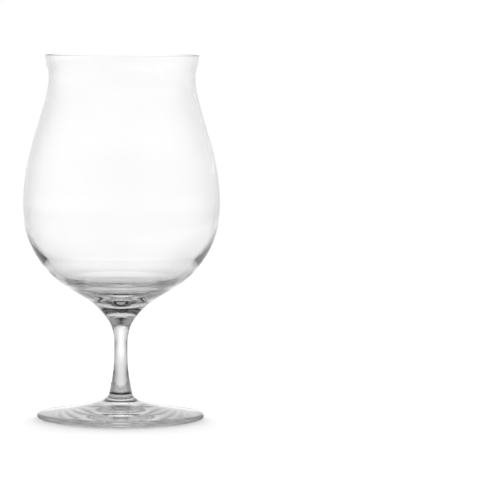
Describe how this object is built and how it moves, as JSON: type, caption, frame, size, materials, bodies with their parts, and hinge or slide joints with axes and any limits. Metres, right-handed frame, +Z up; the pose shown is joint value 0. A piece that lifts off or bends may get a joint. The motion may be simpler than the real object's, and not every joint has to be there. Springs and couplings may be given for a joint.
{
  "type": "tulip beer glass",
  "caption": "Stemmed tulip beer glass of clear glass: round belly, drawn-in neck, flared rim, short waisted stem and a wide disc foot, for drinking.",
  "frame": {"origin": "on the glass's axis, in the plane that the foot stands on", "axes": "+Z up along the axis, from the foot to the rim; X and Y are alike, because the glass is turned about Z"},
  "size_m": [0.09, 0.09, 0.1646],
  "materials": {
    "bowl_glass": "clear, colourless, fire-polished, thin blown wall",
    "stem_glass": "clear, colourless, fire-polished, solid and drawn",
    "foot_glass": "clear, colourless, fire-polished, spun disc with faint flow lines"
  },
  "bodies": {
    "root": {"bowl": "bowl_glass", "stem": "stem_glass", "foot": "foot_glass"}
  },
  "joints": []
}
